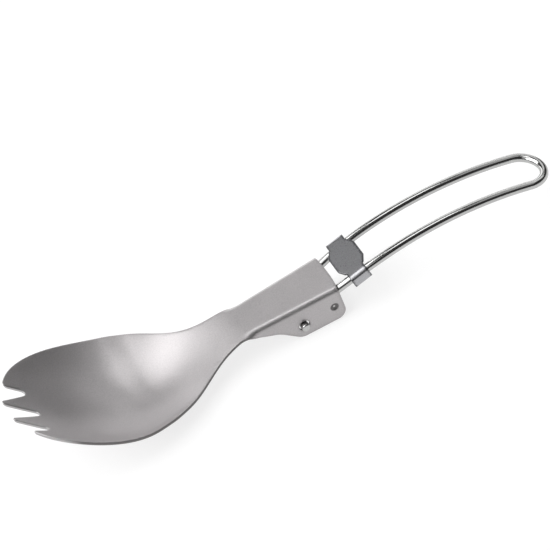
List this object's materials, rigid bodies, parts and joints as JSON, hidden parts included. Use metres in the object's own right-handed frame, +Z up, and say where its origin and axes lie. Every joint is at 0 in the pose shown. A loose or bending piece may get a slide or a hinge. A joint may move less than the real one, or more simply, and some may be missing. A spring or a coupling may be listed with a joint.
{
  "type": "folding spork",
  "caption": "Folding camping spork: stamped bowl with tines, a wire handle that folds under the bowl and a sliding clip that locks the handle open.",
  "frame": {"origin": "centre of the bounding box on the surface that the open spork rests on; it rests on the bowl's floor and on the two flanges' pivot bosses", "axes": "+X along the spork from the tines to the handle's end loop, +Y across it, +Z up"},
  "size_m": [0.1662, 0.0446, 0.021],
  "materials": {
    "blasted_sheet": "bead-blasted titanium sheet, fine even grain, burnished edges",
    "polished_wire": "polished titanium wire with faint drawing lines",
    "clip_sheet": "smooth satin titanium sheet, finely brushed"
  },
  "bodies": {
    "bowl": {"spork_body": "blasted_sheet"},
    "handle": {"wire_handle": "polished_wire"},
    "clip": {"lock_slider": "clip_sheet"}
  },
  "joints": [
    {"name": "handle_fold", "type": "hinge", "parent": "bowl", "child": "handle", "pos_m": [0.00169, 0, 0.00395], "axis": [0, 1, 0], "range_deg": [0, 185.5]},
    {"name": "clip_travel", "type": "hinge", "parent": "handle", "child": "clip", "pos_m": [0.0476, 0, -0.09048], "axis": [0, 1, 0], "range_deg": [-1, 28]}
  ]
}
